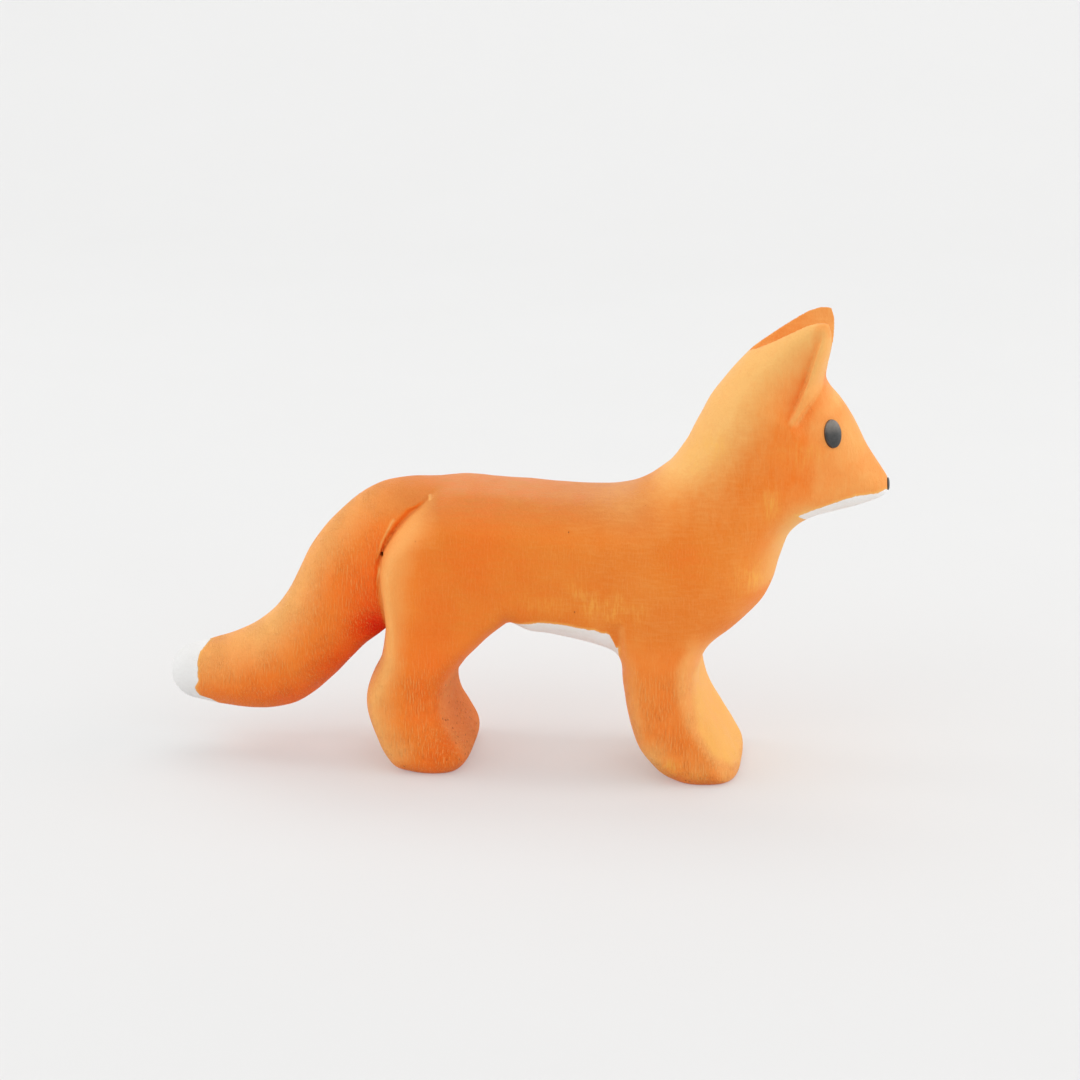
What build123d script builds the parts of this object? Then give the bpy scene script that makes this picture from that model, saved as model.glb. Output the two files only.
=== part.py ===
from build123d import *
import math
import os

# Standing fox figurine in carved wood, mm.
# Origin: middle of the footprint box on the ground. +X towards the nose, +Z up, +Y the fox's left.

# ------------------------------------------------------------------ driving dimensions
CORE_HALF = 9.0            # the core board is 18 mm thick
DOWEL_R = 2.95             # hidden dowels, in bores of DOWEL_BORE_R
DOWEL_BORE_R = 3.0
DOWEL_HALF = 12.0          # half length, 3 mm into each flank
DOWEL_BORE_HALF = 12.2
HAUNCH_DOWEL = (-13.0, 34.0)    # x, z
SHOULDER_DOWEL = (24.0, 34.0)
EYE_X, EYE_Z = 50.8, 58.75
EYE_A, EYE_B = 1.5, 2.3    # half width and half height of the oval eye
EYE_BASE_Y = 5.85          # depth of the flat eye seat's centre from the middle plane
EYE_HEIGHT = 1.15          # eye, from its seat to the top of its dome
EYE_YAW, EYE_PITCH = 32.0, 15.0   # the seat turns this far to the front and up
PEG_R, PEG_LEN = 0.75, 2.2
NOSE_X, NOSE_Z = 60.05, 49.2     # flat nose seat at the muzzle tip
NOSE_A, NOSE_B = 1.15, 1.05       # half width and half height of the nose
NOSE_HEIGHT = 0.4
FIT = 0.05                 # clearance of eyes, nose and pegs in their seats

# Sections, each from a first end (rear or top) to a second end (front or bottom) in the
# side view, with the half thickness across, where along it that thickness is reached,
# and how square the section is (2 is an ellipse): x1, z1, x2, z2, half, place, squareness
TRUNK = [
    (-18.5, 42.5, -18.5, 27.0, 9.6, 0.5, 2.8),
    (-12.0, 47.8, -12.0, 25.0, 12.4, 0.5, 2.7),
    (-4.0, 48.6, -4.0, 24.4, 12.8, 0.5, 2.7),
    (5.0, 48.25, 5.0, 23.1, 12.7, 0.5, 2.7),
    (12.0, 48.0, 12.8, 21.5, 12.9, 0.5, 2.7),
    (17.2, 48.4, 26.5, 20.4, 13.3, 0.5, 2.6),
    (22.2, 50.3, 36.0, 25.4, 12.5, 0.5, 2.4),
    (25.6, 53.8, 41.2, 31.2, 10.8, 0.5, 2.3),
    (28.8, 59.4, 43.8, 38.8, 9.2, 0.5, 2.2),
    (33.2, 64.6, 46.2, 46.0, 7.6, 0.5, 2.2),
]
REAR_LEG = [
    (-19.2, 0.0, -10.3, 0.0, 12.2, 0.5, 4.6),
    (-20.6, 1.6, -9.2, 1.6, 12.8, 0.5, 4.6),
    (-22.2, 4.6, -10.6, 4.6, 12.9, 0.5, 4.6),
    (-23.7, 8.6, -12.6, 8.6, 12.8, 0.5, 4.4),
    (-24.5, 12.6, -12.7, 12.6, 12.8, 0.5, 4.2),
    (-24.0, 16.6, -10.9, 16.6, 13.1, 0.5, 4.0),
    (-22.6, 21.0, -7.4, 21.0, 13.5, 0.5, 3.6),
    (-22.3, 26.0, -3.0, 26.0, 13.9, 0.5, 3.2),
    (-22.8, 32.0, -2.0, 32.0, 14.0, 0.5, 3.0),
    (-22.2, 37.6, -3.0, 37.6, 13.5, 0.5, 2.8),
    (-19.6, 42.4, -5.0, 42.4, 12.4, 0.5, 2.6),
    (-15.4, 46.4, -7.5, 46.4, 9.6, 0.5, 2.4),
]
FRONT_LEG = [
    (25.8, 0.0, 34.9, 0.0, 12.6, 0.5, 4.6),
    (24.4, 1.6, 36.4, 1.6, 13.2, 0.5, 4.6),
    (22.2, 4.4, 35.2, 4.4, 13.4, 0.5, 4.6),
    (20.2, 8.2, 32.0, 8.2, 13.2, 0.5, 4.4),
    (19.0, 12.4, 29.9, 12.4, 13.1, 0.5, 4.2),
    (18.2, 16.6, 29.2, 16.6, 13.2, 0.5, 4.0),
    (17.2, 21.0, 30.9, 21.0, 13.5, 0.5, 3.4),
    (16.2, 26.0, 35.8, 26.0, 13.6, 0.5, 3.0),
    (15.8, 32.0, 37.6, 32.0, 13.5, 0.5, 2.8),
    (16.8, 38.0, 35.6, 38.0, 12.9, 0.5, 2.6),
    (18.6, 43.0, 31.0, 43.0, 11.6, 0.5, 2.4),
]
TAIL = [
    (-60.15, 14.5, -60.25, 12.3, 1.7, 0.5, 2.0),
    (-58.6, 16.6, -58.9, 9.6, 4.2, 0.5, 2.1),
    (-54.8, 18.1, -54.6, 7.8, 6.0, 0.5, 2.2),
    (-50.2, 19.6, -48.2, 6.45, 7.0, 0.5, 2.2),
    (-45.2, 22.1, -40.2, 7.4, 7.7, 0.5, 2.2),
    (-40.9, 26.5, -33.4, 12.1, 8.2, 0.5, 2.2),
    (-36.4, 35.0, -28.4, 17.2, 8.5, 0.5, 2.2),
    (-31.0, 41.8, -24.2, 21.2, 8.6, 0.5, 2.2),
    (-25.2, 46.3, -19.6, 25.6, 8.7, 0.5, 2.2),
    (-17.5, 48.2, -13.2, 28.5, 8.6, 0.5, 2.2),
    (-9.0, 47.9, -6.5, 31.0, 7.8, 0.5, 2.2),
]
# The head's sections are parallel to the underside of the chin, which rises HEAD_TILT to
# the front: height above the chin line, rear end, front end, half, place, squareness
HEAD_X, HEAD_Z, HEAD_TILT = 46.0, 42.3, 22.0
HEAD = [
    (0.1, -3.0, 15.2, 3.2, 0.40, 2.1),
    (0.85, -7.0, 16.1, 5.4, 0.38, 2.1),
    (4.0, -11.5, 15.8, 7.8, 0.36, 2.1),
    (9.0, -12.6, 15.0, 8.8, 0.38, 2.2),
    (14.0, -12.6, 14.4, 8.9, 0.42, 2.35),
    (18.0, -12.4, 13.6, 8.8, 0.45, 2.4),
    (22.0, -9.6, 12.7, 8.3, 0.5, 2.5),
    (25.0, -6.2, 14.4, 7.9, 0.55, 2.6),
    (28.0, -1.4, 16.2, 7.3, 0.6, 2.6),
    (30.2, 2.8, 17.2, 6.6, 0.65, 2.6),
    (31.1, 5.4, 16.0, 5.6, 0.65, 2.6),
]
# V between the ears, opening to the front: x, z of its floor, half width at its top, z of its top
EAR_NOTCH = [(38.6, 72.3, 0.35, 75.5), (54.0, 65.2, 6.5, 81.5)]


def oval(length, half, place, square, count=20):
    """Closed curve points across a section; local x runs from its first to its second end."""
    first, second = length * place, length * (1.0 - place)
    mid = first - length / 2.0
    points = []
    for k in range(count):
        t = 2.0 * math.pi * k / count
        c, s = math.cos(t), math.sin(t)
        r = second if c > 0 else first
        points.append((mid + r * math.copysign(abs(c) ** (2.0 / square), c),
                       half * math.copysign(abs(s) ** (2.0 / square), s)))
    return points


def across(x1, z1, x2, z2):
    """Plane of a section: centred between its ends, its local x along it, its local y along Y."""
    length = math.hypot(x2 - x1, z2 - z1)
    ux, uz = (x2 - x1) / length, (z2 - z1) / length
    return Plane(origin=((x1 + x2) / 2.0, 0.0, (z1 + z2) / 2.0), x_dir=(ux, 0, uz), z_dir=(-uz, 0, ux)), length


def head_ends(height, rear, front):
    c, s = math.cos(math.radians(HEAD_TILT)), math.sin(math.radians(HEAD_TILT))
    return (HEAD_X + rear * c - height * s, HEAD_Z + rear * s + height * c,
            HEAD_X + front * c - height * s, HEAD_Z + front * s + height * c)


def eye_plane(side):
    """Seat of an eye; side is +1 for the fox's left."""
    yaw, pitch = math.radians(EYE_YAW), math.radians(EYE_PITCH)
    out = (math.sin(yaw) * math.cos(pitch), side * math.cos(yaw) * math.cos(pitch), math.sin(pitch))
    along = (math.cos(yaw), -side * math.sin(yaw), 0.0)
    return Plane(origin=(EYE_X, side * EYE_BASE_Y, EYE_Z), x_dir=along, z_dir=out)


NOSE_PLANE = Plane(origin=(NOSE_X, 0, NOSE_Z), x_dir=(0, 1, 0), z_dir=(1, 0, 0.06))


def dowel_plane(place):
    return Plane(origin=(place[0], 0, place[1]), x_dir=(1, 0, 0), z_dir=(0, 1, 0))


# ------------------------------------------------------------------ the glued-up blank, carved to shape
with BuildPart() as blank:
    for group in (TRUNK, REAR_LEG, FRONT_LEG, TAIL):
        for x1, z1, x2, z2, half, place, square in group:
            section_plane, section_length = across(x1, z1, x2, z2)
            with BuildSketch(section_plane):
                with BuildLine():
                    Spline(*oval(section_length, half, place, square), periodic=True)
                make_face()
        loft()
    for height, rear, front, half, place, square in HEAD:
        section_plane, section_length = across(*head_ends(height, rear, front))
        with BuildSketch(section_plane):
            with BuildLine():
                Spline(*oval(section_length, half, place, square), periodic=True)
            make_face()
    loft()
    # V between the ears
    for x, floor, half, top in EAR_NOTCH:
        with BuildSketch(Plane(origin=(x, 0, 0), x_dir=(0, 1, 0), z_dir=(1, 0, 0))):
            with BuildLine():
                Polyline((0, floor), (half, top), (-half, top), close=True)
            make_face()
    loft(mode=Mode.SUBTRACT)

# ------------------------------------------------------------------ core board
with BuildPart() as core_board:
    add(blank.part)
    split(bisect_by=Plane(origin=(0, CORE_HALF, 0), x_dir=(1, 0, 0), z_dir=(0, 1, 0)), keep=Keep.BOTTOM)
    split(bisect_by=Plane(origin=(0, -CORE_HALF, 0), x_dir=(1, 0, 0), z_dir=(0, 1, 0)), keep=Keep.TOP)
    for place in (HAUNCH_DOWEL, SHOULDER_DOWEL):
        with BuildSketch(dowel_plane(place)):
            Circle(DOWEL_BORE_R)
        extrude(amount=CORE_HALF + 1.0, both=True, mode=Mode.SUBTRACT)
    # flat oval eye seats with a peg hole each
    for side in (1, -1):
        with BuildSketch(eye_plane(side)):
            Ellipse(EYE_A + FIT, EYE_B + FIT)
        extrude(amount=4.0, mode=Mode.SUBTRACT)
        with BuildSketch(eye_plane(side)):
            Circle(PEG_R + FIT)
        extrude(amount=-(PEG_LEN + 0.2), mode=Mode.SUBTRACT)
    # flat nose seat with a peg hole
    with BuildSketch(NOSE_PLANE):
        Rectangle(12, 12)
    extrude(amount=4.0, mode=Mode.SUBTRACT)
    with BuildSketch(NOSE_PLANE):
        Circle(PEG_R + FIT)
    extrude(amount=-(PEG_LEN + 0.2), mode=Mode.SUBTRACT)

# ------------------------------------------------------------------ flank boards
with BuildPart() as left_flank:
    add(blank.part)
    split(bisect_by=Plane(origin=(0, CORE_HALF, 0), x_dir=(1, 0, 0), z_dir=(0, 1, 0)), keep=Keep.TOP)
    for place in (HAUNCH_DOWEL, SHOULDER_DOWEL):
        with BuildSketch(dowel_plane(place)):
            Circle(DOWEL_BORE_R)
        extrude(amount=DOWEL_BORE_HALF, mode=Mode.SUBTRACT)

with BuildPart() as right_flank:
    add(blank.part)
    split(bisect_by=Plane(origin=(0, -CORE_HALF, 0), x_dir=(1, 0, 0), z_dir=(0, 1, 0)), keep=Keep.BOTTOM)
    for place in (HAUNCH_DOWEL, SHOULDER_DOWEL):
        with BuildSketch(dowel_plane(place)):
            Circle(DOWEL_BORE_R)
        extrude(amount=-DOWEL_BORE_HALF, mode=Mode.SUBTRACT)

# ------------------------------------------------------------------ dowels
with BuildPart() as haunch_dowel:
    with BuildSketch(dowel_plane(HAUNCH_DOWEL)):
        Circle(DOWEL_R)
    extrude(amount=DOWEL_HALF, both=True)
    chamfer(haunch_dowel.edges().filter_by(GeomType.CIRCLE), 0.5)

with BuildPart() as shoulder_dowel:
    with BuildSketch(dowel_plane(SHOULDER_DOWEL)):
        Circle(DOWEL_R)
    extrude(amount=DOWEL_HALF, both=True)
    chamfer(shoulder_dowel.edges().filter_by(GeomType.CIRCLE), 0.5)

# ------------------------------------------------------------------ eyes and nose
with BuildPart() as left_eye:
    with BuildSketch(eye_plane(1)):
        Ellipse(EYE_A, EYE_B)
    extrude(amount=EYE_HEIGHT)
    fillet(left_eye.faces().sort_by(Axis((EYE_X, EYE_BASE_Y, EYE_Z), tuple(eye_plane(1).z_dir)))[-1].edges(), 0.75)
    with BuildSketch(eye_plane(1)):
        Circle(PEG_R)
    extrude(amount=-PEG_LEN)

with BuildPart() as right_eye:
    with BuildSketch(eye_plane(-1)):
        Ellipse(EYE_A, EYE_B)
    extrude(amount=EYE_HEIGHT)
    fillet(right_eye.faces().sort_by(Axis((EYE_X, -EYE_BASE_Y, EYE_Z), tuple(eye_plane(-1).z_dir)))[-1].edges(), 0.75)
    with BuildSketch(eye_plane(-1)):
        Circle(PEG_R)
    extrude(amount=-PEG_LEN)

with BuildPart() as nose:
    with BuildSketch(NOSE_PLANE):
        Ellipse(NOSE_A, NOSE_B)
    extrude(amount=NOSE_HEIGHT)
    fillet(nose.faces().sort_by(Axis.X)[-1].edges(), 0.3)
    with BuildSketch(NOSE_PLANE):
        Circle(PEG_R)
    extrude(amount=-PEG_LEN)

# ------------------------------------------------------------------ files
os.makedirs("parts", exist_ok=True)
core_board.part.label = "core_board"
left_flank.part.label = "left_flank"
right_flank.part.label = "right_flank"
haunch_dowel.part.label = "haunch_dowel"
shoulder_dowel.part.label = "shoulder_dowel"
left_eye.part.label = "left_eye"
right_eye.part.label = "right_eye"
nose.part.label = "nose"
export_step(core_board.part, "parts/core_board.step")
export_step(left_flank.part, "parts/left_flank.step")
export_step(right_flank.part, "parts/right_flank.step")
export_step(haunch_dowel.part, "parts/haunch_dowel.step")
export_step(shoulder_dowel.part, "parts/shoulder_dowel.step")
export_step(left_eye.part, "parts/left_eye.step")
export_step(right_eye.part, "parts/right_eye.step")
export_step(nose.part, "parts/nose.step")
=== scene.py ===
import math

import bmesh
import bpy
import numpy as np
from mathutils import Matrix, Vector, kdtree
from mathutils.geometry import delaunay_2d_cdt


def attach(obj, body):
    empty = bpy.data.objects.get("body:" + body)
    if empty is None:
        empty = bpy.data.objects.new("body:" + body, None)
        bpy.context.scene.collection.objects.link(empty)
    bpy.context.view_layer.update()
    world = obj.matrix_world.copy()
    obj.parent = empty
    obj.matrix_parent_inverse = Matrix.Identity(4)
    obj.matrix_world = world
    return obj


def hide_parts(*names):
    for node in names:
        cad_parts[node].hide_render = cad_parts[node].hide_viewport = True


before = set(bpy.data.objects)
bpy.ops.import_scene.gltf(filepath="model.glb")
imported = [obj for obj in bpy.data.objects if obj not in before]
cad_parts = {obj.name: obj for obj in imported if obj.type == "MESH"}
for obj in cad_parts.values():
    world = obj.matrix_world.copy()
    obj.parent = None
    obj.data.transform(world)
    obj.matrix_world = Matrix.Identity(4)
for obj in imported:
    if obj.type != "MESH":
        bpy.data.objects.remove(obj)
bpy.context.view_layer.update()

# Carved and painted fox figurine. Shape tables are in mm, in the part's own frame:
# +X to the nose, +Z up, +Y the fox's left, ground at z = 0.
MM = 0.001

# ------------------------------------------------------------------ shape tables
# Side outlines (x, z); a point given twice is a corner.
BODY = [
    (-10.8, -0.8), (-12.8, -1.2), (-15, -1.3), (-18, -0.8), (-20.74, 0.08), (-22.82, 2.65), (-24.34, 6.06),
    (-25.46, 9.3), (-25.74, 12.51), (-24.81, 15.38), (-23.33, 18.26), (-22.8, 21), (-22.5, 24), (-22.8, 28),
    (-23.3, 32), (-23.3, 35), (-22.8, 37.8), (-21.5, 40.4), (-19.4, 42.9), (-16.8, 45.2), (-13.9, 47.5),
    (-10.42, 48.28), (-6.9, 48.18), (-0, 47.82), (7, 47.38), (12.5, 47.31), (16.61, 47.61), (19.68, 48.55),
    (22.13, 50.1), (24.66, 52.23), (26.82, 55.29), (28.78, 59.16), (30.63, 62.84), (32.72, 65.82), (35.03, 68.57),
    (37.39, 71.15), (40.47, 73.4), (43.9, 75.78), (46.99, 77.48), (49.4, 78.03), (51, 77.45), (51.1, 75.4),
    (50.82, 72.48), (50.13, 69.82), (49.5, 66.7), (49.5, 66.7), (50.38, 65.25), (52.29, 63.04), (54.33, 59.97),
    (56.39, 55.87), (58.52, 52.67), (59.96, 50.5), (60.5, 49.2), (60.25, 48.05), (58.9, 47), (55.4, 45.75), (52, 44.9),
    (48, 43.7), (45.8, 42.45), (44.1, 40.53), (43.18, 38.21), (42.35, 35.4), (41.6, 32.65), (40.51, 30.28),
    (38.44, 27.96), (35.63, 25.37), (32.6, 23.3), (30.8, 21.2), (30, 19), (29.8, 16.6), (30.38, 13.84),
    (31.39, 11.34), (32.81, 9.01), (34.53, 6.3), (35.96, 3.76), (36.76, 2.16), (36.81, 0.33), (35, -1), (32, -1.6),
    (29, -1.6), (26.6, -0.8), (23.83, 0.57), (21.92, 2.49), (20.48, 4.36), (19.51, 6.43), (18.59, 9.63),
    (17.84, 13.06), (17.24, 16.46), (17, 18.9), (16, 20.7), (13.3, 21.75), (8.3, 22.7), (4.9, 23.3), (1.6, 23.95),
    (-1.4, 25.6), (-1.4, 25.6), (-3.4, 24.1), (-5.3, 22.5), (-7.3, 20.45), (-9.3, 18.25), (-11.1, 15.35), (-11.9, 12.2),
    (-11.46, 9.29), (-9.81, 6.29), (-8.64, 4.15), (-8.32, 2.51), (-8.7, 1.1), (-9.5, 0)]
TAIL = [
    (-60.4, 13.4), (-59.4, 16), (-57.2, 17.3), (-54.4, 18.15), (-50.2, 19.5), (-46.06, 21.47), (-43.09, 23.79),
    (-40.88, 26.37), (-38.61, 30.31), (-36.47, 34.75), (-33.9, 38.6), (-31.1, 41.6), (-28.26, 44.17), (-25.27, 46.2),
    (-21.5, 47.55), (-17, 48.08), (-12, 48.18), (-6, 48), (-2, 46), (-3, 40), (-8, 33), (-15, 27), (-20.5, 24.2),
    (-24, 21.5), (-27.54, 18.54), (-30.87, 14.87), (-34.64, 11.28), (-37.99, 8.84), (-41.91, 7.57), (-46, 7.28),
    (-50.39, 7.65), (-54.4, 8.2), (-57.6, 8.9), (-59.7, 10.8)]
# half thickness, edge rounding and squareness at places of the side view (x, z, value)
H_BODY = [
    (-15, 0, 13.6), (-15, 4, 13.9), (-20, 8, 13.5), (-18, 12, 13.4), (-22, 16, 13.3), (-14, 20, 13.8), (-20, 26, 13.4),
    (-14, 28, 14.0), (-14, 34, 13.9), (-19, 38, 12.6), (-11, 41, 13.1), (-8, 47, 12.0), (-3, 30, 13.2), (2, 36, 12.6),
    (5, 46, 11.6), (5, 27, 12.3), (8, 32, 12.6), (14, 36, 13.0), (14, 24, 12.6), (15, 46, 12.0), (24, 34, 13.7),
    (22, 24, 13.7), (23, 14, 13.5), (23, 8, 13.6), (29, 3, 14.0), (34, 3, 13.7), (29, 0, 13.7), (32, 24, 12.8),
    (37, 30, 11.6), (22, 44, 12.4), (28, 47, 11.2), (34, 44, 10.9), (31, 52, 9.9), (40, 38, 9.5), (36, 54, 8.9),
    (30, 60, 8.6), (36, 64, 8.2), (33, 66, 7.9), (41, 47, 8.9), (45, 55, 8.6), (44, 62, 8.4), (46, 46, 8.0),
    (50, 59, 7.2), (49, 51, 7.6), (52.5, 63.5, 5.8), (50, 66, 6.6), (56, 51, 4.6), (54, 56, 5.7), (60, 49, 2.4),
    (58, 52, 3.3), (57, 47, 3.8), (52, 45.5, 5.7), (44, 68, 7.6), (40, 70, 6.8), (38, 71, 6.0), (44, 74, 7.3),
    (50, 77, 7.3), (49, 71, 7.6)]
R_BODY = [
    (-15, -1, 4.0), (-20, 2, 3.4), (-18, 11, 5.0), (-24, 10, 3.6), (-23, 18, 3.5), (-22, 30, 2.8), (-20, 40, 4.6),
    (-14, 46, 7.0), (-8, 48, 9.0), (5, 48, 9.0), (20, 49, 9.0), (5, 24, 5.4), (12, 22, 5.0), (-2, 25, 3.2), (-8, 20, 3.4),
    (-12, 11, 4.2), (-9, 3, 4.2), (18, 14, 3.5), (23, 5, 3.5), (30, 12, 3.6), (29, -1, 4.4), (36, 2, 3.8), (32, 22, 4.4),
    (38, 28, 7.5), (42, 36, 7.5), (28, 56, 8.5), (31, 62, 8.0), (36, 69, 5.5), (46, 43, 4.0), (55, 46, 3.0), (60, 49, 2.2),
    (57, 55, 4.4), (53, 63, 4.6), (50, 66, 3.0), (41, 73, 3.4), (46, 76, 2.2), (50, 77, 1.6), (50.6, 72, 1.8), (40, 50, 8.0),
    (10, 36, 8.0)]
Q_BODY = [
    (-15, -1, 3.6), (-15, 4, 3.7), (-18, 14, 3.7), (-22, 16, 3.7), (-14, 24, 3.4), (-14, 32, 3.1), (-20, 38, 2.8),
    (-8, 46, 2.3), (5, 36, 2.7), (5, 47, 2.2), (5, 25, 2.7), (24, 34, 2.9), (23, 24, 3.4), (23, 14, 3.7), (29, 3, 3.7),
    (29, -1, 3.6), (38, 30, 2.3), (34, 50, 2.2), (28, 48, 2.3), (45, 54, 2.4), (56, 51, 2.2), (60, 49, 2.0), (44, 70, 2.6),
    (50, 77, 2.8), (36, 66, 2.3)]
H_TAIL = [
    (-61, 13, 4.6), (-58, 13, 5.4), (-54, 13, 6.3), (-48, 13.5, 7.2), (-42, 15, 7.9), (-36, 22, 8.4), (-30, 30, 8.7),
    (-25, 38, 8.8), (-18, 43, 8.8), (-5, 42, 8.8), (-12, 34, 8.8)]
R_TAIL = [
    (-61, 13, 3.6), (-57, 13, 4.6), (-52, 13, 5.8), (-46, 14, 6.8), (-40, 17, 7.6), (-34, 24, 8.6), (-27, 33, 9.4),
    (-18, 42, 9.5), (-5, 42, 9.5), (-12, 34, 9.5)]
# carved lines on the sides (x, z) with their depths: behind the ear's rim, in front of it,
# the cut between haunch and tail, and the step between belly and foreleg
STOP = np.array([(49.2, 76.0), (48.63, 74.3), (47.6, 70.7), (46.5, 67.0), (45.3, 64.1), (44.4, 62.2), (43.6, 60.4)])
STOP_D = np.array([0.0, 0.8, 1.7, 2.0, 1.7, 0.9, 0.0])
TEMPLE = np.array([(50.2, 67.2), (49.6, 66.4), (48.5, 65.0), (47.0, 63.1), (45.5, 61.0), (44.4, 59.6)])
TEMPLE_D = np.array([0.2, 0.8, 1.2, 1.2, 0.8, 0.0])
CREASE = np.array([(-14.2, 46.6), (-14.8, 46.0), (-15.75, 45.25), (-16.8, 44.45), (-18.0, 43.6), (-19.9, 41.55), (-21.55, 39.2), (-22.7, 36.9), (-23.2, 34.5), (-23.25, 30.7), (-23.1, 28.0)])
CREASE_D = np.array([0.0, 0.05, 0.30, 0.90, 1.25, 1.15, 0.95, 0.75, 0.45, 0.25, 0.0])
STEP_LINE = np.array([(16.9, 27.8), (17.1, 26.6), (17.05, 24.5), (17.1, 22.8), (17.3, 21.2)])
STEP_D = np.array([0.0, 0.7, 1.2, 1.1, 0.2])
# raised threads of wood beside the cut (x, z, height, half width)
THREADS = [
    ([(-20.4, 42.9), (-20.84, 42.3), (-21.64, 40.7), (-22.46, 39.0), (-23.05, 37.15), (-23.4, 35.7)], [0.0, 0.14, 0.20, 0.20, 0.15, 0.0], 0.17),
    ([(-22.95, 35.0), (-23.05, 34.0), (-23.2, 32.7)], [0.0, 0.12, 0.0], 0.12),
    ([(-23.3, 34.0), (-23.38, 32.4), (-23.5, 30.9)], [0.0, 0.12, 0.0], 0.12),
    ([(-14.95, 46.65), (-14.8, 46.25), (-14.6, 45.95)], [0.0, 0.30, 0.0], 0.20)]
PIN = (-22.6, 36.9, 0.27, 0.8)       # pinhole at the end of the cut: x, z, radius, depth

CORE_HALF = 9.0
DOWELS = [(-13.0, 34.0), (24.0, 34.0)]
BORE_R, BORE_HALF = 3.0, 12.2
EYE = dict(x=50.8, z=58.75, y=5.85, a=1.5, b=2.3, height=1.15, yaw=32.0, pitch=15.0, peg=0.75, peg_len=2.2)
NOSE = dict(x=60.05, z=49.2, a=1.15, b=1.05, height=0.4, peg=0.75, peg_len=2.2)
FIT = 0.05


# ------------------------------------------------------------------ implicit shape
def catmull(points, n=6):
    """Closed centripetal Catmull-Rom curve."""
    P = np.asarray(points, float)
    N, out = len(P), []
    for i in range(N):
        p0, p1, p2, p3 = P[(i - 1) % N], P[i], P[(i + 1) % N], P[(i + 2) % N]
        if np.allclose(p1, p2):
            continue
        if np.allclose(p0, p1):
            p0 = p1 - (p2 - p1)
        if np.allclose(p3, p2):
            p3 = p2 + (p2 - p1)
        t0 = 0.0
        t1 = t0 + np.linalg.norm(p1 - p0) ** 0.5
        t2 = t1 + np.linalg.norm(p2 - p1) ** 0.5
        t3 = t2 + np.linalg.norm(p3 - p2) ** 0.5
        t = np.linspace(t1, t2, n, endpoint=False)[:, None]
        A1 = (t1 - t) / (t1 - t0) * p0 + (t - t0) / (t1 - t0) * p1
        A2 = (t2 - t) / (t2 - t1) * p1 + (t - t1) / (t2 - t1) * p2
        A3 = (t3 - t) / (t3 - t2) * p2 + (t - t2) / (t3 - t2) * p3
        B1 = (t2 - t) / (t2 - t0) * A1 + (t - t0) / (t2 - t0) * A2
        B2 = (t3 - t) / (t3 - t1) * A2 + (t - t1) / (t3 - t1) * A3
        out.append((t2 - t) / (t2 - t1) * B1 + (t - t1) / (t2 - t1) * B2)
    return np.concatenate(out)


def signed_distance(px, pz, poly):
    """Distance of grid points to a closed outline, positive inside."""
    d = np.full(px.shape, 1e9)
    inside = np.zeros(px.shape, bool)
    for (ax, az), (bx, bz) in zip(poly, np.roll(poly, -1, 0)):
        ex, ez = bx - ax, bz - az
        t = np.clip(((px - ax) * ex + (pz - az) * ez) / (ex * ex + ez * ez + 1e-12), 0, 1)
        d = np.minimum(d, (px - ax - t * ex) ** 2 + (pz - az - t * ez) ** 2)
        if az != bz:
            inside ^= ((az > pz) != (bz > pz)) & (px < ex * (pz - az) / ez + ax)
    d = np.sqrt(d)
    return np.where(inside, d, -d)


def along(px, pz, line, values):
    """Signed distance to an open line (positive on its left) and the value at the nearest point."""
    best = np.full(px.shape, 1e9)
    sd, vv = np.zeros(px.shape), np.zeros(px.shape)
    for i in range(len(line) - 1):
        ax, az = line[i]
        ex, ez = line[i + 1] - line[i]
        t = np.clip(((px - ax) * ex + (pz - az) * ez) / (ex * ex + ez * ez), 0, 1)
        dx, dz = px - ax - t * ex, pz - az - t * ez
        d2 = dx * dx + dz * dz
        m = d2 < best
        best = np.where(m, d2, best)
        sd = np.where(m, np.sqrt(d2) * np.sign(ex * dz - ez * dx), sd)
        vv = np.where(m, values[i] + (values[i + 1] - values[i]) * t, vv)
    return sd, vv


def plate(points, px, pz, low, high):
    """Smooth thin-plate map through (x, z, value) points."""
    P = np.asarray(points, float)
    X, v, n = P[:, :2] / 10.0, P[:, 2], len(P)

    def phi(r2):
        return 0.5 * r2 * np.log(r2 + 1e-12)

    A = np.zeros((n + 3, n + 3))
    A[:n, :n] = phi(((X[:, None] - X[None]) ** 2).sum(-1)) + 0.02 * np.eye(n)
    A[:n, n] = A[n, :n] = 1
    A[:n, n + 1:] = X
    A[n + 1:, :n] = X.T
    w = np.linalg.solve(A, np.concatenate([v, np.zeros(3)]))
    qx, qz = px / 10.0, pz / 10.0
    out = w[n] + w[n + 1] * qx + w[n + 2] * qz
    for (x, z), wi in zip(X, w[:n]):
        out = out + wi * phi((qx - x) ** 2 + (qz - z) ** 2)
    return np.clip(out, low, high)


def smooth(a, b, x):
    t = np.clip((x - a) / (b - a), 0, 1)
    return t * t * (3 - 2 * t)


def blur(a, sigma):
    r = int(3 * sigma + 1)
    k = np.exp(-np.arange(-r, r + 1) ** 2 / (2 * sigma * sigma))
    k /= k.sum()
    for axis in (0, 1):
        b = np.moveaxis(a, axis, -1)
        pad = np.pad(b, [(0, 0), (r, r)], mode="edge")
        o = np.zeros_like(b)
        for i, w in enumerate(k):
            o += w * pad[..., i:i + b.shape[-1]]
        a = np.moveaxis(o, -1, axis)
    return a


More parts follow.
